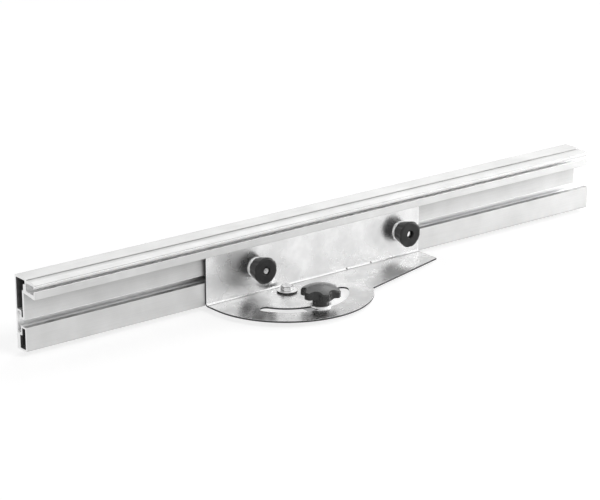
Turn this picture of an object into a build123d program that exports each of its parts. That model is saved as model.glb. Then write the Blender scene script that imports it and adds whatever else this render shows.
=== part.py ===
from build123d import *
import os
from math import atan2, cos, degrees, radians, sin, sqrt

# Mitre gauge: a bent sheet bracket turns on a table runner and carries a long extruded fence.
# All sizes are in millimetres. X runs along the fence, +Y towards the work, +Z up.
# The origin is on the pivot axis, on the underside of the bracket's plate.

# Bracket sheet
sheet_thickness = 2.0
bend_inner_radius = 2.0
plate_radius = 100.5
flange_back = 21.5
flange_top_gap = 4.9
flange_corner_radius = 4.0
plate_right = 216.0
tip_depth = 15.5
tip_corner_radius = 3.0
arc_end_angle = -30.4
tooling_hole_radius = 1.5
tooling_hole_x = 96.0
tooling_hole_y = -26.0

# Arc slot for the star knob's stud
slot_inner_radius = 57.0
slot_width = 14.5
slot_half_angle = 59.5

# Clearances
running_gap = 0.05
bolt_hole_gap = 0.5
washer_hole_gap = 0.2
stud_slot_gap = 1.0

# Bolts and washers
bolt_radius = 4.0
hex_across_flats = 13.0
hex_head_height = 5.3
hex_turn = 22.0
hex_chamfer = 0.8
large_washer_radius = 12.0
large_washer_thickness = 2.0
bolt_end_chamfer = 0.6

# Table runner and pivot bush
runner_width = 19.0
runner_thickness = 6.0
runner_rear = 15.0
runner_beyond_stud = 13.0
runner_end_chamfer = 1.5
bush_wall = 2.0

# Fence extrusion
fence_left = -337.0
fence_right = 503.0
upper_cut_back = 23.0
fence_depth = 19.0
fence_height = 84.5
fence_wall = 2.2
fence_web = 2.0
fence_foot_radius = 2.5
fence_edge_round = 0.6
chamber_corner_radius = 1.0
lower_back_wall = 6.0
upper_face_setback = 2.4
upper_front_wall = 3.0
crown_reach = 4.2
track_block_depth = 3.0
nook_wall = 1.7
nook_height = 4.7

# T-slot in the fence
mouth_centre = 32.3
mouth_height = 8.6
lip_depth = 10.5
cavity_above = 11.7
cavity_below = 13.0

# Stop track along the fence's top, measured down from the fence's top
track_reach = 20.0
track_bar_width = 6.7
track_bar_back_drop = 0.3
track_bar_front_drop = 2.8
track_bar_groove_drop = 4.4
track_bar_groove_depth = 0.7
track_bar_groove_height = 1.2
scale_recess_depth = 1.3
track_roof_thickness = 3.2
track_roof_lip_height = 2.7
track_slit_height = 3.2
track_front_lip_height = 9.2
track_front_lip_thickness = 2.0
track_floor_thickness = 5.1
track_floor_fall = 2.4
track_back_wall = 2.3

# Clamp bolts, which hold the flange to the fence
clamp_left_x = -28.6
clamp_right_x = 188.0
bolt_head_width = 18.0
bolt_head_gap = 0.35
bolt_head_thickness = 4.5
bolt_left_length = 30.0
bolt_right_length = 27.0

# Round clamp knobs
knob_rear_radius = 12.2
knob_radius = 15.9
knob_face_radius = 13.6
knob_edge_length = 1.2
knob_length = 16.0
knob_bore_radius = 4.9
flute_count = 8
flute_radius = 6.0
flute_depth = 0.7
insert_radius = 6.5
insert_length = 10.0

# Star knob
star_radius = 23.0
star_lobes = 6
star_turn = 7.0
star_root_radius = 18.2
star_scallop_radius = 9.5
star_lobe_corner = 3.4
star_body_height = 7.2
star_dome_height = 6.0
star_rim_chamfer = 1.4
star_hub_radius = 9.6
star_hub_height = 10.4
stud_head_radius = 6.0
stud_head_length = 8.0
stud_head_rise = 3.0

# Places that follow from the sizes above
flange_front = flange_back - sheet_thickness
bend_start = flange_front - bend_inner_radius
fence_front = flange_back
fence_back = fence_front + fence_depth
lip_seat = fence_front + lip_depth
upper_face = fence_front + upper_face_setback
crown_front = fence_front - crown_reach
track_front = fence_front - track_reach
track_bar_back = track_front + track_bar_width
track_bar_front_top = fence_height - track_bar_front_drop
track_bar_back_top = fence_height - track_bar_back_drop
track_recess_floor = fence_height - scale_recess_depth
track_roof_underside = track_recess_floor - track_roof_thickness
slit_top = track_roof_underside - track_roof_lip_height
slit_bottom = slit_top - track_slit_height
track_underside = slit_bottom - track_front_lip_height
channel_floor = track_underside + track_floor_thickness
channel_back = fence_front - track_back_wall
flange_height = track_underside - flange_top_gap
clamp_washer_front = flange_front - large_washer_thickness
bush_height = sheet_thickness + running_gap
bush_radius = bolt_radius + bush_wall
washer_top = bush_height + large_washer_thickness
star_seat = sheet_thickness + large_washer_thickness
slot_radius = slot_inner_radius + slot_width / 2
stud_place = slot_inner_radius + bolt_radius + stud_slot_gap
star_y = -stud_place
runner_front = stud_place + runner_beyond_stud


def facing_viewer(x, y, z):
    """A work plane at the given point whose normal points out of the fence, towards -Y."""
    return Plane(origin=(x, y, z), x_dir=(1, 0, 0), z_dir=(0, -1, 0))


def section_plane(x):
    """The fence's cross-section plane, with Y across and Z up, at the given X."""
    return Plane(origin=(x, 0, 0), x_dir=(0, 1, 0), z_dir=(1, 0, 0))


def section_box(y_low, y_high, z_low, z_high):
    """A rectangle of the cross-section, given by its edges."""
    middle = Pos((y_low + y_high) / 2, (z_low + z_high) / 2)
    return middle * Rectangle(y_high - y_low, z_high - z_low)


def ring(outer_radius, inner_radius, thickness):
    """A flat washer or bush standing on the XY plane."""
    face = Circle(outer_radius) - Circle(inner_radius)
    return extrude(face, thickness)


def turned(points):
    """A solid of revolution about Z from radius and height pairs."""
    profile = make_face(Polyline(*points, close=True))
    return revolve(Plane.XZ * profile, Axis.Z)


def hex_head():
    """A hexagon head with its upper corners turned off, standing on the XY plane."""
    corner_radius = hex_across_flats / sqrt(3)
    prism = extrude(RegularPolygon(corner_radius, 6), hex_head_height)
    shoulder = hex_head_height - hex_chamfer / 2
    blank = [
        (0, 0),
        (corner_radius, 0),
        (corner_radius, shoulder),
        (corner_radius - hex_chamfer, hex_head_height),
        (0, hex_head_height),
    ]
    return prism & turned(blank)


# Bracket


def bracket_plate():
    """The flat plate: a half disc about the pivot with a pointed wing to the right."""
    corner_x = plate_radius * cos(radians(arc_end_angle))
    corner_y = plate_radius * sin(radians(arc_end_angle))
    lowest = (0, -plate_radius)
    outline = [
        Line((-plate_radius, bend_start), (-plate_radius, 0)),
        ThreePointArc((-plate_radius, 0), lowest, (corner_x, corner_y)),
        Line((corner_x, corner_y), (plate_right, -tip_depth)),
        Line((plate_right, -tip_depth), (plate_right, bend_start)),
        Line((plate_right, bend_start), (-plate_radius, bend_start)),
    ]
    face = make_face(Wire(outline))
    tip = face.vertices().sort_by_distance((plate_right, -tip_depth, 0))[0]
    face = fillet(tip, tip_corner_radius)
    return extrude(face, sheet_thickness)


def bracket_flange():
    """The bend and the upright flange that the fence is clamped to."""
    outer_radius = bend_inner_radius + sheet_thickness
    bend_top = outer_radius
    inner = RadiusArc((bend_start, sheet_thickness), (flange_front, bend_top), -bend_inner_radius)
    outer = RadiusArc((flange_back, bend_top), (bend_start, 0), outer_radius)
    profile = Wire(
        [
            inner,
            Line((flange_front, bend_top), (flange_front, flange_height)),
            Line((flange_front, flange_height), (flange_back, flange_height)),
            Line((flange_back, flange_height), (flange_back, bend_top)),
            outer,
            Line((bend_start, 0), (bend_start, sheet_thickness)),
        ]
    )
    length = plate_radius + plate_right
    flange = extrude(section_plane(-plate_radius) * make_face(profile), length)
    corners = flange.edges().filter_by(Axis.Y).group_by(Axis.Z)[-1]
    return fillet(corners, flange_corner_radius)


def mitre_bracket():
    """The one-piece bracket with its pivot hole, arc slot and clamp bolt holes."""
    body = bracket_plate() + bracket_flange()
    hole_depth = 4 * sheet_thickness
    pivot_hole = Cylinder(bush_radius + running_gap, hole_depth)
    slot_line = CenterArc((0, 0), slot_radius, -90 - slot_half_angle, 2 * slot_half_angle)
    slot = extrude(Pos(0, 0, -sheet_thickness) * SlotArc(slot_line, slot_width), hole_depth)
    tooling_hole = Pos(tooling_hole_x, tooling_hole_y, 0) * Cylinder(tooling_hole_radius, hole_depth)
    body -= [pivot_hole, slot, tooling_hole]
    for x in (clamp_left_x, clamp_right_x):
        hole = Cylinder(bolt_radius + bolt_hole_gap, hole_depth)
        body -= facing_viewer(x, flange_front, mouth_centre) * hole
    return body


# Fence


def upper_outline():
    """The section's outline above the slot's middle, with the stop track at its front."""
    corners = [
        (upper_face, mouth_centre),
        (upper_face, track_underside + track_floor_fall),
        (track_front, track_underside),
        (track_front, track_bar_front_top),
        (track_bar_back, track_bar_back_top),
        (track_bar_back, track_recess_floor),
        (crown_front, track_recess_floor),
        (crown_front, fence_height),
        (fence_back, fence_height),
        (fence_back, mouth_centre),
    ]
    return make_face(Polyline(*corners, close=True))


def stop_track_openings():
    """The stop track's channel, its front slit and the groove along its bar."""
    channel_front = track_front + track_front_lip_thickness
    channel = section_box(channel_front, channel_back, channel_floor, track_roof_underside)
    slit = section_box(track_front, channel_front, slit_bottom, slit_top)
    groove_middle = fence_height - track_bar_groove_drop
    half_groove = track_bar_groove_height / 2
    groove_corners = [
        (track_front, groove_middle - half_groove),
        (track_front + track_bar_groove_depth, groove_middle),
        (track_front, groove_middle + half_groove),
    ]
    groove = make_face(Polyline(*groove_corners, close=True))
    return [channel, slit, groove]


def t_slot():
    """The T-slot: a narrow mouth with a taller cavity behind its lips."""
    half_mouth = mouth_height / 2
    mouth = section_box(fence_front, lip_seat, mouth_centre - half_mouth, mouth_centre + half_mouth)
    cavity = section_box(
        lip_seat,
        fence_back - fence_wall,
        mouth_centre - cavity_below,
        mouth_centre + cavity_above,
    )
    return mouth + cavity


def chamber(front, back, low, high, neck_back, neck_low, neck_high):
    """A hollow of the extrusion: a main room with a narrower room beside the slot's lip."""
    room = section_box(front, back, low, high)
    room += section_box(front, neck_back, neck_low, neck_high)
    return room


def fence_chambers():
    """The closed hollows above and below the T-slot."""
    inside_back = fence_back - fence_wall
    neck_back = lip_seat - fence_web
    slot_top = mouth_centre + cavity_above + fence_web
    slot_bottom = mouth_centre - cavity_below - fence_web
    roof = fence_height - fence_wall
    mouth_top = mouth_centre + mouth_height / 2 + fence_web
    mouth_bottom = mouth_centre - mouth_height / 2 - fence_web
    upper_inside = upper_face + upper_front_wall
    upper = chamber(upper_inside, inside_back, slot_top, roof, neck_back, mouth_top, roof)
    upper += section_box(fence_front + track_block_depth, inside_back, channel_floor, roof)
    upper += section_box(channel_back + nook_wall, inside_back, roof - nook_height, roof)
    lower_inside = fence_front + fence_wall
    lower_back = fence_back - lower_back_wall
    lower = chamber(
        lower_inside, lower_back, fence_wall, slot_bottom, neck_back, fence_wall, mouth_bottom
    )
    upper = fillet(upper.vertices(), chamber_corner_radius)
    lower = fillet(lower.vertices(), chamber_corner_radius)
    return [upper, lower]


def rounded_edges(section):
    """Rounds the long outer edges that the extrusion die leaves soft."""
    corners = [
        (crown_front, fence_height),
        (fence_back, fence_height),
        (track_front, track_bar_front_top),
        (track_front, slit_top),
        (track_front, slit_bottom),
        (track_front, track_underside),
        (fence_back, 0),
    ]
    found = [section.vertices().sort_by_distance((y, z, 0))[0] for y, z in corners]
    return fillet(found, fence_edge_round)


def fence_extrusion():
    """The fence: one extruded section, cut back above the slot at its right-hand end."""
    lower_part = section_box(fence_front, fence_back, 0, mouth_centre)
    foot = lower_part.vertices().sort_by_distance((fence_front, 0, 0))[0]
    lower_part = fillet(foot, fence_foot_radius)
    section = lower_part + upper_outline()
    section -= stop_track_openings()
    section -= t_slot()
    section -= fence_chambers()
    section = rounded_edges(section)
    length = fence_right - fence_left
    fence = extrude(section_plane(fence_left) * section, length)
    notch = section_box(
        track_front - track_reach, fence_back + track_reach, mouth_centre, 2 * fence_height
    )
    cutter = section_plane(fence_right - upper_cut_back) * notch
    return fence - extrude(cutter, 2 * upper_cut_back)


# Runner and pivot


def table_runner():
    """The flat runner for the table's slot, tapped for the pivot bolt and the star stud."""
    length = runner_rear + runner_front
    bar = Box(runner_width, length, runner_thickness, align=(Align.CENTER, Align.MIN, Align.MAX))
    bar = chamfer(bar.edges().filter_by(Axis.Z), runner_end_chamfer)
    bar = Pos(0, -runner_front, 0) * bar
    depth = 3 * runner_thickness
    bar -= Cylinder(bolt_radius, depth)
    bar -= Pos(0, star_y, 0) * Cylinder(bolt_radius + running_gap, depth)
    return bar


def pivot_bolt():
    """The hexagon bolt that the bracket turns about."""
    head = Pos(0, 0, washer_top) * Rot(0, 0, hex_turn) * hex_head()
    shank_length = washer_top + runner_thickness
    shank = Pos(0, 0, -runner_thickness) * extrude(Circle(bolt_radius), shank_length)
    return head + shank


def pivot_washer():
    """The large washer under the pivot bolt's head."""
    washer = ring(large_washer_radius, bolt_radius + washer_hole_gap, large_washer_thickness)
    return Pos(0, 0, bush_height) * washer


def pivot_bush():
    """The plain bush that the bracket's hole turns on."""
    return ring(bush_radius, bolt_radius + running_gap, bush_height)


def star_washer():
    """The large washer under the star knob."""
    washer = ring(large_washer_radius, bolt_radius + washer_hole_gap, large_washer_thickness)
    return Pos(0, star_y, sheet_thickness) * washer


# Clamp bolts and round knobs


def clamp_bolt(x, length):
    """A bolt with a flat oblong head that can't turn in the T-slot."""
    head = Box(
        bolt_head_width,
        cavity_above + cavity_below - 2 * bolt_head_gap,
        bolt_head_thickness,
        align=(Align.CENTER, Align.CENTER, Align.MAX),
    )
    middle = (cavity_above - cavity_below) / 2
    shank = extrude(Circle(bolt_radius), length)
    shank = chamfer(shank.edges().sort_by(Axis.Z)[-1], bolt_end_chamfer)
    bolt = Pos(0, middle, 0) * head + shank
    return facing_viewer(x, lip_seat, mouth_centre) * bolt


def clamp_washer(x):
    """The large washer between the flange and a clamp knob."""
    washer = ring(large_washer_radius, bolt_radius + washer_hole_gap, large_washer_thickness)
    return facing_viewer(x, flange_front, mouth_centre) * washer


def knob_blank():
    """The round knob's turned shape, widening towards its face, before its flutes are cut."""
    return turned(
        [
            (0, 0),
            (knob_rear_radius, 0),
            (knob_radius, knob_length - knob_edge_length),
            (knob_face_radius, knob_length),
            (0, knob_length),
        ]
    )


def clamp_knob(x):
    """A fluted round knob with a bore through it and a pocket for its threaded insert."""
    rise = knob_length - knob_edge_length
    tilt = degrees(atan2(knob_radius - knob_rear_radius, rise))
    flute_place = knob_rear_radius + (flute_radius - flute_depth) / cos(radians(tilt))
    cutter = Rot(0, tilt, 0) * Cylinder(flute_radius, 4 * knob_length)
    flutes = PolarLocations(flute_place, flute_count) * cutter
    body = knob_blank() - flutes
    body -= extrude(Circle(knob_bore_radius), knob_length)
    body -= extrude(Circle(insert_radius), insert_length)
    return facing_viewer(x, clamp_washer_front, mouth_centre) * body


def knob_insert(x):
    """The tapped bush moulded into a clamp knob."""
    bush = ring(insert_radius, bolt_radius + running_gap, insert_length)
    return facing_viewer(x, clamp_washer_front, mouth_centre) * bush


# Star knob


def star_outline():
    """The lobed outline of the star knob."""
    scallop_place = star_root_radius + star_scallop_radius
    face = Circle(star_radius)
    face -= PolarLocations(scallop_place, star_lobes, 180 / star_lobes) * Circle(star_scallop_radius)
    return fillet(face.vertices(), star_lobe_corner)


def star_blank():
    """The star knob's turned shape: a hub under a body with a ball-shaped top."""
    rim_low = star_hub_height
    rim_high = star_hub_height + star_body_height
    crown = rim_high + star_dome_height
    dome_radius = (star_radius**2 + star_dome_height**2) / (2 * star_dome_height)
    half = star_radius / 2
    half_height = crown - dome_radius + sqrt(dome_radius**2 - half**2)
    profile = Wire(
        [
            Line((0, 0), (star_hub_radius, 0)),
            Line((star_hub_radius, 0), (star_hub_radius, rim_low)),
            Line((star_hub_radius, rim_low), (star_radius, rim_low)),
            Line((star_radius, rim_low), (star_radius, rim_high)),
            ThreePointArc((star_radius, rim_high), (half, half_height), (0, crown)),
            Line((0, crown), (0, 0)),
        ]
    )
    return revolve(Plane.XZ * make_face(profile), Axis.Z)


def stud_head():
    """The head of the stud that the star knob is moulded round."""
    return Pos(0, 0, stud_head_rise) * extrude(Circle(stud_head_radius), stud_head_length)


def star_knob():
    """The lobed hand knob over the arc slot."""
    crown = star_hub_height + star_body_height + star_dome_height
    prism = extrude(star_outline(), 2 * crown)
    body = star_blank() & prism
    top = body.faces().sort_by(Axis.Z)[-1]
    body = chamfer(top.edges(), star_rim_chamfer)
    body -= stud_head()
    body -= extrude(Circle(bolt_radius), stud_head_rise)
    return Pos(0, star_y, star_seat) * Rot(0, 0, star_turn) * body


def star_stud():
    """The stud that runs from the star knob down into the runner."""
    shank_length = runner_thickness + star_seat + stud_head_rise
    shank = Pos(0, 0, -runner_thickness - star_seat) * extrude(Circle(bolt_radius), shank_length)
    return Pos(0, star_y, star_seat) * (shank + stud_head())


# Output
nodes = {
    "fence_extrusion": fence_extrusion(),
    "mitre_bracket": mitre_bracket(),
    "table_runner": table_runner(),
    "pivot_bolt": pivot_bolt(),
    "pivot_washer": pivot_washer(),
    "pivot_bush": pivot_bush(),
    "star_washer": star_washer(),
    "star_knob": star_knob(),
    "star_stud": star_stud(),
    "clamp_bolt_left": clamp_bolt(clamp_left_x, bolt_left_length),
    "clamp_bolt_right": clamp_bolt(clamp_right_x, bolt_right_length),
    "clamp_washer_left": clamp_washer(clamp_left_x),
    "clamp_washer_right": clamp_washer(clamp_right_x),
    "clamp_knob_left": clamp_knob(clamp_left_x),
    "clamp_knob_right": clamp_knob(clamp_right_x),
    "knob_insert_left": knob_insert(clamp_left_x),
    "knob_insert_right": knob_insert(clamp_right_x),
}

os.makedirs("parts", exist_ok=True)
for name, shape in nodes.items():
    export_step(shape, f"parts/{name}.step")
    print(name, round(shape.volume, 1), shape.is_valid)
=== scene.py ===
"""Looks for the mitre gauge: its finishes, the studio and the camera."""

import logging
from dataclasses import dataclass
from enum import Enum
from math import radians

import bpy
from mathutils import Matrix, Vector


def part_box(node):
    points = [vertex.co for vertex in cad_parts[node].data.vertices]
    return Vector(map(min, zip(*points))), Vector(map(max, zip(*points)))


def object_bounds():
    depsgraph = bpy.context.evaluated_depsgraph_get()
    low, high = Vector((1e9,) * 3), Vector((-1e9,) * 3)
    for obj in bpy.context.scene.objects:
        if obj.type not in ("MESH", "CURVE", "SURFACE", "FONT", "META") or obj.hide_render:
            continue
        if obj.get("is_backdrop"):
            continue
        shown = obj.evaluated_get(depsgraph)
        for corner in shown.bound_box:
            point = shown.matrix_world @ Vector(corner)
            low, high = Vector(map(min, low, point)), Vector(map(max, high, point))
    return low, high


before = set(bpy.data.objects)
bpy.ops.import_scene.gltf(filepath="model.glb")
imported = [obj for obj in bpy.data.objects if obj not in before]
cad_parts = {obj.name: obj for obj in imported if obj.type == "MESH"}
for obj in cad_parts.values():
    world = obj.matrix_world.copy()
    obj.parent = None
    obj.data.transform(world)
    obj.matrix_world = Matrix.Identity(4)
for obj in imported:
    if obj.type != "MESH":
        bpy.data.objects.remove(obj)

log = logging.getLogger("mitre_gauge")

Shade = tuple[float, float, float]
Point = tuple[float, float, float]
Socket = bpy.types.NodeSocket

WHITE = (1.0, 1.0, 1.0, 1.0)

# How many rays the masks of edges and corners feel their way with
FEELER_RAYS = 8

# The places of the colour sockets on a Mix node, whose names repeat
MIX_SHARE = 0
MIX_UNDER = 6
MIX_TOP = 7
MIX_RESULT = 2


class Side(Enum):
    """Which of the two clamps on the flange."""

    LEFT = "left"
    RIGHT = "right"


class Run(Enum):
    """The way a stretched texture runs over a piece."""

    ALONG_FENCE = (1.0, 60.0, 60.0)
    ALONG_RUNNER = (60.0, 1.0, 60.0)
    EVEN = (1.0, 1.0, 1.0)


class Sum(Enum):
    """The sums that masks and patterns are combined with."""

    TIMES = "MULTIPLY"
    LESS = "SUBTRACT"
    HIGHER_OF = "MAXIMUM"
    LOWER_OF = "MINIMUM"
    SIZE_OF = "ABSOLUTE"
    IS_ABOVE = "GREATER_THAN"
    IS_BELOW = "LESS_THAN"


@dataclass(frozen=True)
class Pattern:
    """A noise: cells per metre, octaves of finer noise, the way it runs and how far it is moved."""

    scale: float
    detail: float
    run: Run = Run.EVEN
    shift: float = 0.0


@dataclass(frozen=True)
class Fade:
    """A clamped change: what goes from low to high gives a result that goes from start to end."""

    low: float
    high: float
    start: float
    end: float


@dataclass(frozen=True)
class Strip:
    """A strip that runs along X, by its lowest and highest Y and Z, in metres."""

    front: float
    back: float
    bottom: float
    top: float


class NodeSheet:
    """A material's node tree, with short ways to add what the finishes need."""

    spot_core: float = 0.6
    corner_fade: tuple[float, float] = (0.2, 0.95)
    edge_turn: Fade = Fade(0.97, 0.88, 0.0, 1.0)

    def __init__(self, name: str) -> None:
        """Start an empty material.

        Args:
            name: the material's name.
        """
        self.material = bpy.data.materials.new(name)
        self.material.use_nodes = True
        self.tree = self.material.node_tree
        self.tree.nodes.clear()
        self.output = self.tree.nodes.new("ShaderNodeOutputMaterial")
        self.shader = self.tree.nodes.new("ShaderNodeBsdfPrincipled")
        self.link(self.shader.outputs["BSDF"], self.output.inputs["Surface"])
        coordinates = self.tree.nodes.new("ShaderNodeTexCoord")
        self.place = coordinates.outputs["Object"]
        self.facing = coordinates.outputs["Normal"]

    def link(self, start: Socket, end: Socket) -> None:
        """Join two sockets."""
        self.tree.links.new(start, end)

    def set(self, **values: object) -> None:
        """Set the shader's own sockets, with underscores for spaces in their names."""
        for name, value in values.items():
            self.shader.inputs[name.replace("_", " ")].default_value = value

    def drive(self, name: str, source: Socket) -> None:
        """Link a pattern to one of the shader's sockets."""
        self.link(source, self.shader.inputs[name])

    def math(self, operation: Sum, first: Socket, second: Socket | float = 0.0) -> Socket:
        """Combine two patterns, or a pattern and a number.

        Args:
            operation: the sum.
            first: the first pattern.
            second: the second pattern or number, which SIZE_OF leaves out.

        Returns:
            The result's socket.
        """
        node = self.tree.nodes.new("ShaderNodeMath")
        node.operation = operation.value
        self.link(first, node.inputs[0])
        if isinstance(second, float):
            node.inputs[1].default_value = second
        else:
            self.link(second, node.inputs[1])
        return node.outputs["Value"]

    def any_of(self, *masks: Socket) -> Socket:
        """Join masks into one.

        Args:
            masks: the masks.

        Returns:
            The highest of them at each point.
        """
        joined = masks[0]
        for mask in masks[1:]:
            joined = self.math(Sum.HIGHER_OF, joined, mask)
        return joined

    def split(self, vector: Socket) -> tuple[Socket, Socket, Socket]:
        """Split a vector.

        Args:
            vector: the vector's socket.

        Returns:
            The sockets of its X, Y and Z.
        """
        node = self.tree.nodes.new("ShaderNodeSeparateXYZ")
        self.link(vector, node.inputs["Vector"])
        return node.outputs["X"], node.outputs["Y"], node.outputs["Z"]

    def between(self, source: Socket, low: float, high: float) -> Socket:
        """Mask where a value lies between two others.

        Args:
            source: the value.
            low: the lowest that counts.
            high: the highest that counts.

        Returns:
            The mask, 0 or 1.
        """
        node = self.tree.nodes.new("ShaderNodeMath")
        node.operation = "COMPARE"
        self.link(source, node.inputs[0])
        node.inputs[1].default_value = (low + high) / 2
        node.inputs[2].default_value = (high - low) / 2
        return node.outputs["Value"]

    def strip(self, strip: Strip) -> Socket:
        """Mask a strip that runs along X.

        Args:
            strip: where it lies.

        Returns:
            The mask, 0 or 1.
        """
        _, y, z = self.split(self.place)
        deep = self.between(y, strip.front, strip.back)
        high = self.between(z, strip.bottom, strip.top)
        return self.math(Sum.TIMES, deep, high)

    def from_axis(self, x: float, z: float) -> Socket:
        """Measure the distance from a line along Y.

        Args:
            x: the line's X, in metres.
            z: the line's Z.

        Returns:
            The distance, in metres.
        """
        flat = self.tree.nodes.new("ShaderNodeVectorMath")
        flat.operation = "MULTIPLY"
        flat.inputs[1].default_value = (1.0, 0.0, 1.0)
        self.link(self.place, flat.inputs[0])
        distance = self.tree.nodes.new("ShaderNodeVectorMath")
        distance.operation = "DISTANCE"
        distance.inputs[1].default_value = (x, 0.0, z)
        self.link(flat.outputs["Vector"], distance.inputs[0])
        return distance.outputs["Value"]

    def spot(self, middle: Point, radius: float) -> Socket:
        """Mask a small round spot with a soft rim.

        Args:
            middle: its centre, in metres.
            radius: its radius.

        Returns:
            The mask, from 0 to 1.
        """
        distance = self.tree.nodes.new("ShaderNodeVectorMath")
        distance.operation = "DISTANCE"
        self.link(self.place, distance.inputs[0])
        distance.inputs[1].default_value = middle
        rim = Fade(self.spot_core * radius, radius, 1.0, 0.0)
        return self.fade(distance.outputs["Value"], rim)

    def noise(self, pattern: Pattern) -> Socket:
        """Add a noise.

        Args:
            pattern: its scale, detail, run and shift.

        Returns:
            The noise's value socket.
        """
        mapping = self.tree.nodes.new("ShaderNodeMapping")
        mapping.inputs["Scale"].default_value = pattern.run.value
        mapping.inputs["Location"].default_value = (pattern.shift, pattern.shift, pattern.shift)
        self.link(self.place, mapping.inputs["Vector"])
        texture = self.tree.nodes.new("ShaderNodeTexNoise")
        texture.inputs["Scale"].default_value = pattern.scale
        texture.inputs["Detail"].default_value = pattern.detail
        self.link(mapping.outputs["Vector"], texture.inputs["Vector"])
        return texture.outputs["Fac"]

    def fade(self, source: Socket, change: Fade) -> Socket:
        """Map a pattern's range to another range, clamped.

        Args:
            source: the pattern.
            change: the two ranges.

        Returns:
            The mapped socket.
        """
        node = self.tree.nodes.new("ShaderNodeMapRange")
        node.inputs["From Min"].default_value = change.low
        node.inputs["From Max"].default_value = change.high
        node.inputs["To Min"].default_value = change.start
        node.inputs["To Max"].default_value = change.end
        self.link(source, node.inputs["Value"])
        return node.outputs["Result"]

    def tint(
        self,
        source: Socket,
        dark: Shade,
        light: Shade,
        low: float = 0.3,
        high: float = 0.7,
    ) -> Socket:
        """Colour a pattern between two shades.

        Args:
            source: the pattern.
            dark: the shade at low.
            light: the shade at high.
            low: the pattern's value at the dark end.
            high: the pattern's value at the light end.

        Returns:
            The colour socket.
        """
        ramp = self.tree.nodes.new("ShaderNodeValToRGB")
        ramp.color_ramp.elements[0].position = low
        ramp.color_ramp.elements[1].position = high
        ramp.color_ramp.elements[0].color = (*dark, 1.0)
        ramp.color_ramp.elements[1].color = (*light, 1.0)
        self.link(source, ramp.inputs["Fac"])
        return ramp.outputs["Color"]

    def cover(self, under: Socket, shade: Shade, share: Socket) -> Socket:
        """Lay one shade over a colour where a mask says so.

        Args:
            under: the colour below.
            shade: the shade on top.
            share: the mask, from 0 to 1.

        Returns:
            The colour socket.
        """
        node = self.tree.nodes.new("ShaderNodeMix")
        node.data_type = "RGBA"
        node.inputs[MIX_TOP].default_value = (*shade, 1.0)
        self.link(share, node.inputs[MIX_SHARE])
        self.link(under, node.inputs[MIX_UNDER])
        return node.outputs[MIX_RESULT]

    def relief(self, height: Socket, depth: float, under: Socket) -> Socket:
        """Turn a pattern into relief.

        Args:
            height: the pattern.
            depth: how deep the relief is, in metres.
            under: the normal that the relief is laid on.

        Returns:
            The normal socket.
        """
        bump = self.tree.nodes.new("ShaderNodeBump")
        bump.inputs["Strength"].default_value = 1.0
        bump.inputs["Distance"].default_value = depth
        self.link(height, bump.inputs["Height"])
        self.link(under, bump.inputs["Normal"])
        return bump.outputs["Normal"]

    def corner_shade(self, reach: float, strength: float) -> Socket:
        """Mask the painted shade under ledges and in corners, darker where neighbouring faces close
        in.

        Args:
            reach: how far a neighbouring face is felt, in metres.
            strength: the mask's value in a closed corner.

        Returns:
            The mask, from 0 to strength.
        """
        open_sky = self.tree.nodes.new("ShaderNodeAmbientOcclusion")
        open_sky.samples = FEELER_RAYS
        open_sky.only_local = True
        open_sky.inputs["Distance"].default_value = reach
        closed, clear = self.corner_fade
        return self.fade(open_sky.outputs["AO"], Fade(closed, clear, strength, 0.0))

    def near_edges(self, radius: float) -> Socket:
        """Mask the strip along every edge, where a rounded edge would turn away.

        Args:
            radius: the strip's width, in metres.

        Returns:
            The mask, from 0 to 1.
        """
        flat = self.tree.nodes.new("ShaderNodeNewGeometry")
        turned = self.tree.nodes.new("ShaderNodeVectorMath")
        turned.operation = "DOT_PRODUCT"
        self.link(self.softened_edges(radius), turned.inputs[0])
        self.link(flat.outputs["Normal"], turned.inputs[1])
        return self.fade(turned.outputs["Value"], self.edge_turn)

    def softened_edges(self, radius: float) -> Socket:
        """Break every edge by a small radius.

        Args:
            radius: the radius, in metres.

        Returns:
            The normal socket.
        """
        bevel = self.tree.nodes.new("ShaderNodeBevel")
        bevel.samples = FEELER_RAYS
        bevel.inputs["Radius"].default_value = radius
        return bevel.outputs["Normal"]


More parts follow.
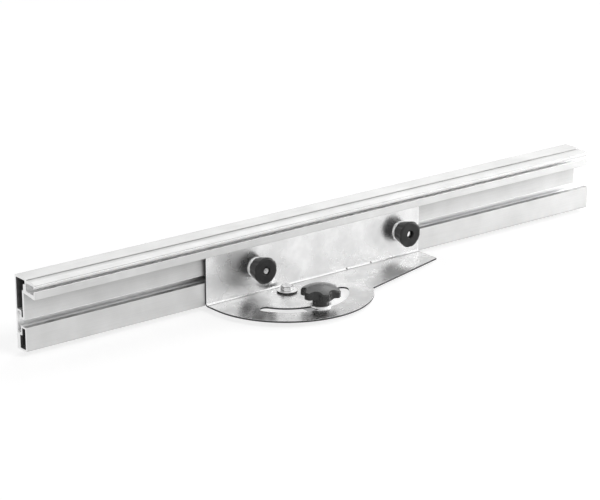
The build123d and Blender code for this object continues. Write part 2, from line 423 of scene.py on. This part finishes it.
@dataclass(frozen=True)
class ExtrudedAluminium:
    """Mill-finish aluminium: fine die lines and pale cut ends, with painted light inside the slots
    and painted shade under ledges, in corners and along two thin lines.
    """

    dark: Shade = (0.58, 0.58, 0.577)
    light: Shade = (0.66, 0.66, 0.657)
    cloud: Pattern = Pattern(26.0, 4.0)
    die_lines: Pattern = Pattern(14.0, 6.0, Run.ALONG_FENCE)
    die_line_depth: float = 0.00002
    polish: Fade = Fade(0.35, 0.65, 0.46, 0.58)
    grain: Pattern = Pattern(900.0, 2.0)
    grain_depth: float = 0.000004
    edge_radius: float = 0.0004

    cut_shade: Shade = (0.86, 0.86, 0.86)
    cut_turn: Fade = Fade(0.7, 0.9, 0.0, 1.0)
    cut_roughness: float = 0.6

    # Painted light: the slots' inner faces are lighter than the rest, against their shade
    slot_painted_light: Shade = (0.97, 0.97, 0.97)
    mouth: Strip = Strip(0.0222, 0.0330, 0.0276, 0.0370)
    cavity: Strip = Strip(0.0316, 0.0390, 0.0183, 0.0463)
    track: Strip = Strip(0.0017, 0.0196, 0.0698, 0.0802)

    # Painted shade: laid under ledges, in corners and along the two thin lines below
    painted_shade: Shade = (0.16, 0.16, 0.16)
    shade_reach: float = 0.030
    shade_strength: float = 0.9
    # Painted shade: thin dark lines in patches, along the T-slot's lower lip and the fence's back
    # top edge
    lip_shade: Strip = Strip(0.0216, 0.0275, 0.0272, 0.0291)
    back_edge_shade: Strip = Strip(0.0396, 0.0410, 0.0832, 0.0850)
    back_edge_share: float = 0.6
    shade_patches: Pattern = Pattern(60.0, 3.0)
    patch_share: Fade = Fade(0.35, 0.65, 0.45, 0.8)

    def inside_slots(self, sheet: NodeSheet) -> Socket:
        """Mask the inner faces of the T-slot and the stop track, where painted light lifts their
        shade.

        Args:
            sheet: the material being built.

        Returns:
            The mask, 0 or 1.
        """
        return sheet.any_of(
            sheet.strip(self.mouth),
            sheet.strip(self.cavity),
            sheet.strip(self.track),
        )

    def shade_lines(self, sheet: NodeSheet) -> Socket:
        """Mask the thin lines of painted shade on the T-slot's lower lip and along the fence's back
        top edge.

        Args:
            sheet: the material being built.

        Returns:
            The mask, from 0 to 1.
        """
        patches = sheet.fade(sheet.noise(self.shade_patches), self.patch_share)
        back_edge = sheet.math(Sum.TIMES, sheet.strip(self.back_edge_shade), self.back_edge_share)
        lines = sheet.any_of(sheet.strip(self.lip_shade), back_edge)
        return sheet.math(Sum.TIMES, lines, patches)

    def make(self) -> bpy.types.Material:
        """Build the material.

        Returns:
            The finished material.
        """
        sheet = NodeSheet("extruded_aluminium")
        sheet.set(Metallic=1.0)
        lines = sheet.noise(self.die_lines)
        along, _, _ = sheet.split(sheet.facing)
        cut = sheet.fade(sheet.math(Sum.SIZE_OF, along), self.cut_turn)
        skin = sheet.tint(sheet.noise(self.cloud), self.dark, self.light)
        # Painted shade under ledges and in corners
        corner_dark = sheet.corner_shade(self.shade_reach, self.shade_strength)
        skin = sheet.cover(skin, self.painted_shade, corner_dark)
        # Painted light inside the T-slot and the stop track
        skin = sheet.cover(skin, self.slot_painted_light, self.inside_slots(sheet))
        # Painted shade along the lower lip and the back top edge
        skin = sheet.cover(skin, self.painted_shade, self.shade_lines(sheet))
        sheet.drive("Base Color", sheet.cover(skin, self.cut_shade, cut))
        rough_cut = sheet.math(Sum.TIMES, cut, self.cut_roughness)
        sheet.drive("Roughness", sheet.any_of(sheet.fade(lines, self.polish), rough_cut))
        edges = sheet.softened_edges(self.edge_radius)
        drawn = sheet.relief(lines, self.die_line_depth, edges)
        sheet.drive("Normal", sheet.relief(sheet.noise(self.grain), self.grain_depth, drawn))
        return sheet.material


@dataclass(frozen=True)
class ZincSheet:
    """Bright zinc on rolled sheet: glossy and faintly wavy, with dull sheared edges that a painted
    reflection darkens to near black, painted highlights, and a painted reflection along the bend.
    """

    dark: Shade = (0.67, 0.67, 0.67)
    light: Shade = (0.85, 0.85, 0.85)
    cloud: Pattern = Pattern(34.0, 6.0, shift=0.31)
    polish: Fade = Fade(0.3, 0.7, 0.34, 0.20)
    wave: Pattern = Pattern(11.0, 2.0)
    wave_depth: float = 0.00010
    grain: Pattern = Pattern(700.0, 3.0)
    grain_depth: float = 0.000008
    edge_radius: float = 0.0003

    # Sheared edges are duller than the face; the near black is a painted reflection of the shaded
    # floor
    sheared_and_reflection: Shade = (0.07, 0.07, 0.072)
    upright: Fade = Fade(0.4, 0.6, 1.0, 0.0)
    end_turn: Fade = Fade(0.6, 0.8, 0.0, 1.0)
    level: float = 0.6
    bend_line: float = 0.0165
    flange_top: float = 0.058
    torn_roughness: float = 0.6

    # Painted highlights along the edges, in the bend and round the small hole
    painted_highlight: Shade = (0.97, 0.97, 0.97)
    highlight_width: float = 0.0018
    bend_highlight: Strip = Strip(0.0173, 0.0190, 0.0015, 0.0036)
    hole: Point = (0.096, -0.026, 0.001)
    hole_size: float = 0.0026

    # The nicks' dark colour, also used for a broken line of painted reflection of something dark
    # along the bend
    nick_and_reflection: Shade = (0.16, 0.155, 0.15)
    left_nick: Point = (0.104, 0.0188, 0.0026)
    right_nick: Point = (0.141, 0.0188, 0.0026)
    nick_size: float = 0.0016
    bend_reflection: Strip = Strip(0.0158, 0.0171, 0.0015, 0.0026)
    reflection_stretches: Pattern = Pattern(16.0, 1.0, shift=0.12)
    patch_share: Fade = Fade(0.40, 0.60, 0.25, 0.75)

    def sheared_edges(self, sheet: NodeSheet) -> Socket:
        """Mask the sheared rim, the slot's walls and the flange's top and ends, which are duller
        than the face and painted near black as a reflection of the shaded floor.

        Args:
            sheet: the material being built.

        Returns:
            The mask, from 0 to 1, with none of it in the small hole.
        """
        across_x, _, across_z = sheet.split(sheet.facing)
        _, y, z = sheet.split(sheet.place)
        upright = sheet.fade(sheet.math(Sum.SIZE_OF, across_z), self.upright)
        on_plate = sheet.math(Sum.IS_BELOW, y, self.bend_line)
        rim = sheet.math(Sum.TIMES, upright, on_plate)
        ends = sheet.fade(sheet.math(Sum.SIZE_OF, across_x), self.end_turn)
        level = sheet.math(Sum.IS_ABOVE, across_z, self.level)
        top = sheet.math(Sum.TIMES, level, sheet.math(Sum.IS_ABOVE, z, self.flange_top))
        return sheet.math(Sum.LESS, sheet.any_of(rim, ends, top), self.small_hole(sheet))

    def small_hole(self, sheet: NodeSheet) -> Socket:
        """Mask the small hole and its rim.

        Args:
            sheet: the material being built.

        Returns:
            The mask, from 0 to 1.
        """
        return sheet.spot(self.hole, self.hole_size)

    def painted_highlights(self, sheet: NodeSheet) -> Socket:
        """Mask the painted highlights: a bright strip along the edges, in the bend and round the
        small hole.

        Args:
            sheet: the material being built.

        Returns:
            The mask, from 0 to 1.
        """
        return sheet.any_of(
            sheet.near_edges(self.highlight_width),
            sheet.strip(self.bend_highlight),
            self.small_hole(sheet),
        )

    def bend_nicks_and_reflection(self, sheet: NodeSheet) -> Socket:
        """Mask the two tool nicks in the bend and the broken line of painted reflection along it.

        Args:
            sheet: the material being built.

        Returns:
            The mask, from 0 to 1.
        """
        stretches = sheet.fade(sheet.noise(self.reflection_stretches), self.patch_share)
        return sheet.any_of(
            sheet.spot(self.left_nick, self.nick_size),
            sheet.spot(self.right_nick, self.nick_size),
            sheet.math(Sum.TIMES, sheet.strip(self.bend_reflection), stretches),
        )

    def make(self) -> bpy.types.Material:
        """Build the material.

        Returns:
            The finished material.
        """
        sheet = NodeSheet("bright_zinc_sheet")
        sheet.set(Metallic=1.0)
        cloud = sheet.noise(self.cloud)
        edge = self.sheared_edges(sheet)
        painted_highlight = self.painted_highlights(sheet)
        skin = sheet.tint(cloud, self.dark, self.light)
        # Painted highlights
        skin = sheet.cover(skin, self.painted_highlight, painted_highlight)
        # Tool nicks, and a painted reflection along the bend
        skin = sheet.cover(skin, self.nick_and_reflection, self.bend_nicks_and_reflection(sheet))
        # Sheared edges: duller, and painted near black as a reflection of the shaded floor
        sheet.drive("Base Color", sheet.cover(skin, self.sheared_and_reflection, edge))
        torn = sheet.math(Sum.TIMES, sheet.any_of(edge, painted_highlight), self.torn_roughness)
        sheet.drive("Roughness", sheet.any_of(sheet.fade(cloud, self.polish), torn))
        edges = sheet.softened_edges(self.edge_radius)
        wavy = sheet.relief(sheet.noise(self.wave), self.wave_depth, edges)
        sheet.drive("Normal", sheet.relief(sheet.noise(self.grain), self.grain_depth, wavy))
        return sheet.material


@dataclass(frozen=True)
class ZincHardware:
    """Bright zinc on bolts and washers, with darker passivation in patches, and painted shade where
    asked.
    """

    name: str = "bright_zinc_hardware"
    dark: Shade = (0.50, 0.50, 0.505)
    light: Shade = (0.78, 0.78, 0.785)
    cloud: Pattern = Pattern(150.0, 4.0)
    polish: Fade = Fade(0.3, 0.7, 0.28, 0.16)
    grain: Pattern = Pattern(1500.0, 2.0)
    grain_depth: float = 0.000006
    edge_radius: float = 0.0004

    # Painted shade: a near-black rim on washers, dark outlines on a bolt head's edges, and a ring
    # round the bolts' ends
    painted_dark: Shade = (0.05, 0.05, 0.05)
    painted_shade_rim: bool = False
    rim_turn: Fade = Fade(0.4, 0.6, 1.0, 0.0)
    painted_dark_edges: float = 0.0
    bolt_axes: tuple[tuple[float, float], ...] = ()
    bright_end: Fade = Fade(0.0030, 0.0034, 0.0, 1.0)

    def shade_round_ends(self, sheet: NodeSheet) -> Socket:
        """Mask what lies outside the bright middle of the bolts' ends, which is painted dark as
        shade in the knobs' bores.

        Args:
            sheet: the material being built.

        Returns:
            The mask, from 0 to 1.
        """
        left, right = (sheet.from_axis(x, z) for x, z in self.bolt_axes)
        return sheet.fade(sheet.math(Sum.LOWER_OF, left, right), self.bright_end)

    def make(self) -> bpy.types.Material:
        """Build the material.

        Returns:
            The finished material.
        """
        sheet = NodeSheet(self.name)
        sheet.set(Metallic=1.0)
        cloud = sheet.noise(self.cloud)
        skin = sheet.tint(cloud, self.dark, self.light)
        # Painted shade on the rim, along the edges and round the bolts' ends
        if self.painted_shade_rim:
            _, _, across_z = sheet.split(sheet.facing)
            rim = sheet.fade(sheet.math(Sum.SIZE_OF, across_z), self.rim_turn)
            skin = sheet.cover(skin, self.painted_dark, rim)
        if self.painted_dark_edges > 0.0:
            skin = sheet.cover(skin, self.painted_dark, sheet.near_edges(self.painted_dark_edges))
        if self.bolt_axes:
            skin = sheet.cover(skin, self.painted_dark, self.shade_round_ends(sheet))
        sheet.drive("Base Color", skin)
        sheet.drive("Roughness", sheet.fade(cloud, self.polish))
        edges = sheet.softened_edges(self.edge_radius)
        sheet.drive("Normal", sheet.relief(sheet.noise(self.grain), self.grain_depth, edges))
        return sheet.material


@dataclass(frozen=True)
class DrawnSteel:
    """Cold drawn bar with draw lines and a duller surface."""

    dark: Shade = (0.42, 0.425, 0.43)
    light: Shade = (0.58, 0.58, 0.585)
    draw_lines: Pattern = Pattern(30.0, 4.0, Run.ALONG_RUNNER)
    polish: Fade = Fade(0.3, 0.7, 0.3, 0.45)
    line_depth: float = 0.00001
    edge_radius: float = 0.0003

    def make(self) -> bpy.types.Material:
        """Build the material.

        Returns:
            The finished material.
        """
        sheet = NodeSheet("drawn_steel")
        sheet.set(Metallic=1.0)
        lines = sheet.noise(self.draw_lines)
        sheet.drive("Base Color", sheet.tint(lines, self.dark, self.light))
        sheet.drive("Roughness", sheet.fade(lines, self.polish))
        edges = sheet.softened_edges(self.edge_radius)
        sheet.drive("Normal", sheet.relief(lines, self.line_depth, edges))
        return sheet.material


@dataclass(frozen=True)
class KnobPlastic:
    """Black moulded plastic with a fine spark-eroded grain, and painted light on faces that look up
    where it has some.
    """

    name: str = "knob_plastic"
    dark: Shade = (0.010, 0.010, 0.010)
    light: Shade = (0.024, 0.024, 0.024)
    sheen: float = 0.32
    cloud: Pattern = Pattern(90.0, 3.0)
    polish: Fade = Fade(0.3, 0.7, 0.30, 0.44)
    grain: Pattern = Pattern(1800.0, 2.0)
    grain_depth: float = 0.00002
    edge_radius: float = 0.0007

    # Painted light: faces that look up are lighter
    painted_top_light: Shade | None = None
    top_light_turn: Fade = Fade(0.74, 0.86, 0.0, 0.9)
    top_light_patches: Fade = Fade(0.3, 0.7, 0.8, 1.0)

    def lit_top_faces(self, sheet: NodeSheet, cloud: Socket) -> Socket:
        """Mask the painted light on faces that look up.

        Args:
            sheet: the material being built.
            cloud: the pattern that the painted light is patchy with.

        Returns:
            The mask, from 0 to 1.
        """
        _, _, across_z = sheet.split(sheet.facing)
        upward = sheet.fade(across_z, self.top_light_turn)
        return sheet.math(Sum.TIMES, upward, sheet.fade(cloud, self.top_light_patches))

    def make(self) -> bpy.types.Material:
        """Build the material.

        Returns:
            The finished material.
        """
        sheet = NodeSheet(self.name)
        sheet.set(Specular_IOR_Level=self.sheen)
        cloud = sheet.noise(self.cloud)
        skin = sheet.tint(cloud, self.dark, self.light)
        # Painted light on faces that look up
        if self.painted_top_light is not None:
            skin = sheet.cover(skin, self.painted_top_light, self.lit_top_faces(sheet, cloud))
        sheet.drive("Base Color", skin)
        sheet.drive("Roughness", sheet.fade(cloud, self.polish))
        edges = sheet.softened_edges(self.edge_radius)
        sheet.drive("Normal", sheet.relief(sheet.noise(self.grain), self.grain_depth, edges))
        return sheet.material


def clamp_axis(side: Side) -> tuple[float, float]:
    """Find the line along Y that a clamp's bolt and knob share.

    Args:
        side: which clamp.

    Returns:
        The line's X and Z, in metres, from the middle of the round knob.
    """
    low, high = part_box(f"clamp_knob_{side.value}")
    middle = (low + high) / 2
    return middle.x, middle.z


class Finishes:
    """Every finish on the gauge, each made once."""

    def __init__(self) -> None:
        """Make the materials."""
        self.aluminium = ExtrudedAluminium().make()
        self.zinc_sheet = ZincSheet().make()
        self.zinc_hardware = ZincHardware().make()
        self.pivot_head = ZincHardware(
            name="bright_zinc_pivot_head",
            dark=(0.60, 0.60, 0.605),
            light=(0.92, 0.92, 0.92),
            # Painted shade outlines the head's edges
            painted_dark_edges=0.0018,
        ).make()
        self.clamp_ends = ZincHardware(
            name="bright_zinc_clamp_ends",
            dark=(0.75, 0.75, 0.75),
            light=(0.92, 0.92, 0.92),
            # Painted shade round the bolts' ends
            bolt_axes=tuple(clamp_axis(side) for side in Side),
        ).make()
        self.flat_washer = ZincHardware(
            name="bright_zinc_flat_washer",
            dark=(0.80, 0.80, 0.80),
            light=(0.95, 0.95, 0.95),
            # Painted shade on the washer's rim
            painted_shade_rim=True,
            polish=Fade(0.3, 0.7, 0.50, 0.38),
        ).make()
        self.dull_washer = ZincHardware(
            name="bright_zinc_dull_washer",
            dark=(0.85, 0.85, 0.85),
            light=(0.97, 0.97, 0.97),
            polish=Fade(0.3, 0.7, 0.62, 0.50),
        ).make()
        self.steel = DrawnSteel().make()
        self.plastic = KnobPlastic().make()
        self.star_plastic = KnobPlastic(
            name="star_plastic",
            dark=(0.014, 0.014, 0.014),
            # Painted light on the knob's top
            painted_top_light=(0.17, 0.171, 0.171),
            sheen=0.46,
            polish=Fade(0.3, 0.7, 0.20, 0.32),
        ).make()


def dress(node: str, material: bpy.types.Material) -> None:
    """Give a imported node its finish.

    Args:
        node: the node's name.
        material: its finish.
    """
    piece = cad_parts[node]
    piece.data.materials.clear()
    piece.data.materials.append(material)
    log.info("dressed %s with %s", node, material.name)


@dataclass
class Fence:
    """The extruded fence."""

    node: str = "fence_extrusion"

    def dress(self, finishes: Finishes) -> None:
        """Put the fence's finish on.

        Args:
            finishes: the gauge's finishes.
        """
        dress(self.node, finishes.aluminium)


@dataclass
class Bracket:
    """The bent bracket."""

    node: str = "mitre_bracket"

    def dress(self, finishes: Finishes) -> None:
        """Put the bracket's finish on.

        Args:
            finishes: the gauge's finishes.
        """
        dress(self.node, finishes.zinc_sheet)


@dataclass
class Pivot:
    """The runner, the bolt, washer and bush that the bracket turns on."""

    runner: str = "table_runner"
    bolt: str = "pivot_bolt"
    washer: str = "pivot_washer"
    bush: str = "pivot_bush"

    def dress(self, finishes: Finishes) -> None:
        """Put the pivot's finishes on.

        Args:
            finishes: the gauge's finishes.
        """
        dress(self.runner, finishes.steel)
        dress(self.bolt, finishes.pivot_head)
        dress(self.washer, finishes.flat_washer)
        dress(self.bush, finishes.zinc_hardware)


@dataclass
class StarKnob:
    """The star knob, its stud and the washer under it."""

    knob: str = "star_knob"
    stud: str = "star_stud"
    washer: str = "star_washer"

    def dress(self, finishes: Finishes) -> None:
        """Put the star knob's finishes on.

        Args:
            finishes: the gauge's finishes.
        """
        dress(self.knob, finishes.star_plastic)
        dress(self.stud, finishes.zinc_hardware)
        dress(self.washer, finishes.dull_washer)


@dataclass
class Clamp:
    """One clamp: bolt, washer, knob and the knob's tapped bush."""

    side: Side

    def dress(self, finishes: Finishes) -> None:
        """Put the clamp's finishes on.

        Args:
            finishes: the gauge's finishes.
        """
        dress(f"clamp_knob_{self.side.value}", finishes.plastic)
        dress(f"knob_insert_{self.side.value}", finishes.zinc_hardware)
        dress(f"clamp_washer_{self.side.value}", finishes.dull_washer)
        dress(f"clamp_bolt_{self.side.value}", finishes.clamp_ends)


@dataclass
class Camera:
    """The photograph's camera, fitted to the plate's edge, the bend and the fence's lines.

    It looks along +Y, turned right by its heading and down by its dip, and rolls about its own
    line of sight, all in degrees. Its place and what it sees, from nearest to farthest, are in
    metres, its sensor's width in millimetres, and the photograph's own measures in pixels.
    """

    place: Point = (-1.60037, -2.06426, 0.91964)
    heading: float = 39.2059
    dip: float = 19.0885
    roll: float = 0.2092
    focal_pixels: float = 2403.6
    image_width: float = 600.0
    image_height: float = 500.0
    centre: tuple[float, float] = (343.4, 280.1)
    sensor_width: float = 36.0
    nearest: float = 0.05
    farthest: float = 60.0

    def build(self) -> None:
        """Make the camera and set it as the scene's."""
        data = bpy.data.cameras.new("photo_camera")
        camera = bpy.data.objects.new("photo_camera", data)
        bpy.context.scene.collection.objects.link(camera)
        heading = Matrix.Rotation(-radians(self.heading), 4, "Z")
        dip = Matrix.Rotation(radians(90.0 - self.dip), 4, "X")
        roll = Matrix.Rotation(radians(self.roll), 4, "Z")
        camera.matrix_world = Matrix.Translation(Vector(self.place)) @ heading @ dip @ roll
        data.sensor_width = self.sensor_width
        data.lens = self.focal_pixels * self.sensor_width / self.image_width
        data.shift_x = (self.image_width / 2 - self.centre[0]) / self.image_width
        data.shift_y = (self.centre[1] - self.image_height / 2) / self.image_width
        data.clip_start = self.nearest
        data.clip_end = self.farthest
        bpy.context.scene.camera = camera
        log.info("camera lens %.1f mm", data.lens)


@dataclass(frozen=True)
class Lamp:
    """One soft square lamp that points at the gauge: place and side in metres, power in watts."""

    name: str
    place: Point
    size: float
    power: float
    target: Point = (0.1, 0.0, 0.03)

    def hang(self) -> None:
        """Make the lamp."""
        data = bpy.data.lights.new(self.name, "AREA")
        data.shape = "SQUARE"
        data.size = self.size
        data.energy = self.power
        lamp = bpy.data.objects.new(self.name, data)
        bpy.context.scene.collection.objects.link(lamp)
        away = Vector(self.place) - Vector(self.target)
        turn = away.to_track_quat("Z", "Y").to_matrix().to_4x4()
        lamp.matrix_world = Matrix.Translation(Vector(self.place)) @ turn
        lamp.visible_camera = False
        log.info("hung %s", self.name)


@dataclass
class Studio:
    """The pale floor, the white surround and the soft lamps.

    The surround gives surround_light to the gauge, and surround_shown to what sees it.
    """

    floor_height: float
    floor_size: float = 14.0
    floor_shade: Shade = (0.55, 0.55, 0.55)
    floor_roughness: float = 0.9
    floor_sheen: float = 0.1
    floor_glow: float = 0.6
    surround_light: float = 0.5
    surround_shown: float = 1.0
    lamps: tuple[Lamp, ...] = (
        Lamp("back_softbox", (3.1, 3.6, 1.8), 2.6, 12.0),
        Lamp("side_softbox", (1.5, -0.65, 0.25), 0.5, 8.0),
        Lamp("high_softbox", (3.2, 1.8, 3.7), 2.4, 25.0),
        Lamp("front_softbox", (2.65, -3.05, 1.4), 1.6, 2.5),
        Lamp("ahead_softbox", (0.5, -2.0, 2.6), 1.2, 26.0),
    )

    def shown_white(self, tree: bpy.types.NodeTree) -> Socket:
        """Mask the rays that see the background: camera, glossy and transmission rays.

        Args:
            tree: the node tree of the floor or the surround.

        Returns:
            The mask, 0 or 1.
        """
        path = tree.nodes.new("ShaderNodeLightPath")
        result = path.outputs["Is Camera Ray"]
        for name in ("Is Glossy Ray", "Is Transmission Ray"):
            either = tree.nodes.new("ShaderNodeMath")
            either.operation = "MAXIMUM"
            tree.links.new(result, either.inputs[0])
            tree.links.new(path.outputs[name], either.inputs[1])
            result = either.outputs["Value"]
        return result

    def floor_finish(self) -> bpy.types.Material:
        """Make the floor's finish, which shows near white and keeps the object's shadow.

        Returns:
            The finished material.
        """
        sheet = NodeSheet("studio_floor")
        sheet.set(
            Base_Color=(*self.floor_shade, 1.0),
            Roughness=self.floor_roughness,
            Specular_IOR_Level=self.floor_sheen,
        )
        glow = sheet.tree.nodes.new("ShaderNodeEmission")
        glow.inputs["Color"].default_value = WHITE
        strength = sheet.math(Sum.TIMES, self.shown_white(sheet.tree), self.floor_glow)
        sheet.link(strength, glow.inputs["Strength"])
        both = sheet.tree.nodes.new("ShaderNodeAddShader")
        sheet.link(sheet.shader.outputs["BSDF"], both.inputs[0])
        sheet.link(glow.outputs["Emission"], both.inputs[1])
        sheet.link(both.outputs["Shader"], sheet.output.inputs["Surface"])
        return sheet.material

    def floor(self) -> None:
        """Make the floor that the gauge stands on."""
        half = self.floor_size / 2
        z = self.floor_height
        mesh = bpy.data.meshes.new("studio_floor")
        rim = [(-half, -half, z), (half, -half, z), (half, half, z), (-half, half, z)]
        mesh.from_pydata(rim, [], [(0, 1, 2, 3)])
        mesh.materials.append(self.floor_finish())
        piece = bpy.data.objects.new("studio_floor", mesh)
        bpy.context.scene.collection.objects.link(piece)
        piece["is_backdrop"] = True

    def surround(self) -> None:
        """Make the white surround, which also shows in metal."""
        world = bpy.data.worlds.new("studio_surround")
        bpy.context.scene.world = world
        world.use_nodes = True
        tree = world.node_tree
        tree.nodes.clear()
        output = tree.nodes.new("ShaderNodeOutputWorld")
        mix = tree.nodes.new("ShaderNodeMixShader")
        tree.links.new(self.shown_white(tree), mix.inputs["Fac"])
        for strength, socket in zip((self.surround_light, self.surround_shown), mix.inputs[1:]):
            light = tree.nodes.new("ShaderNodeBackground")
            light.inputs["Color"].default_value = WHITE
            light.inputs["Strength"].default_value = strength
            tree.links.new(light.outputs["Background"], socket)
        tree.links.new(mix.outputs["Shader"], output.inputs["Surface"])

    def build(self) -> None:
        """Make the whole studio."""
        self.floor()
        self.surround()
        for lamp in self.lamps:
            lamp.hang()
        bpy.context.scene.view_settings.view_transform = "Standard"
        log.info("studio ready")


def main() -> None:
    """Dress the gauge, then set the studio and the camera."""
    logging.basicConfig(level=logging.INFO)
    cad_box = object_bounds()
    finishes = Finishes()
    Fence().dress(finishes)
    Bracket().dress(finishes)
    Pivot().dress(finishes)
    StarKnob().dress(finishes)
    for side in Side:
        Clamp(side).dress(finishes)
    Studio(floor_height=cad_box[0].z).build()
    Camera().build()


if __name__ == "__main__":
    main()
